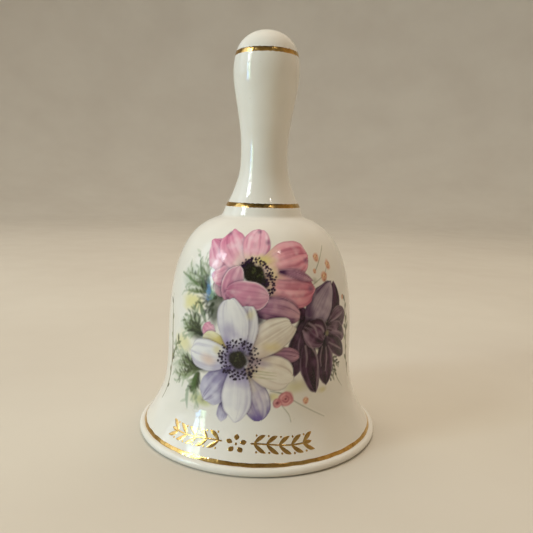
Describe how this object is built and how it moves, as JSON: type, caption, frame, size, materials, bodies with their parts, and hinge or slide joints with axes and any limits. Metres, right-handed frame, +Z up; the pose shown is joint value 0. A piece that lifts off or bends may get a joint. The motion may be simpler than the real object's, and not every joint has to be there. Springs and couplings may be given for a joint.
{
  "type": "hand bell",
  "caption": "Porcelain hand bell with flared skirt, waisted handle, gilt bands, floral decoration and a ball clapper on a short chain.",
  "frame": {"origin": "on the bell's axis, in the plane that the foot rim stands on", "axes": "+Z up along the bell's axis; +X to the right and -Y towards the viewer when the floral front faces the viewer"},
  "size_m": [0.08, 0.08, 0.1297],
  "materials": {
    "porcelain": "gloss glaze",
    "gilding": "burnished gold",
    "cement": "matte",
    "wire": "drawn, slightly dull"
  },
  "bodies": {
    "bell": {"bell_body": "porcelain", "handle": "porcelain", "gilt_band_foot": "gilding", "gilt_band_collar": "gilding", "gilt_band_top": "gilding", "throat_plug": "cement", "clapper_staple": "wire"},
    "upper_link": {"chain_link_1": "wire"},
    "lower_link": {"chain_link_2": "wire"},
    "clapper": {"clapper_wire": "wire", "clapper_ball": "porcelain"}
  },
  "joints": [
    {"name": "upper_link_swing", "type": "hinge", "parent": "bell", "child": "upper_link", "pos_m": [0, 0, 0.063], "axis": [1, 0, 0], "range_deg": [-10, 10]},
    {"name": "lower_link_swing", "type": "hinge", "parent": "upper_link", "child": "lower_link", "pos_m": [0, 0, 0.055], "axis": [0, 1, 0], "range_deg": [-20, 20]},
    {"name": "clapper_swing", "type": "hinge", "parent": "lower_link", "child": "clapper", "pos_m": [0, 0, 0.047], "axis": [1, 0, 0], "range_deg": [-12, 12]}
  ]
}
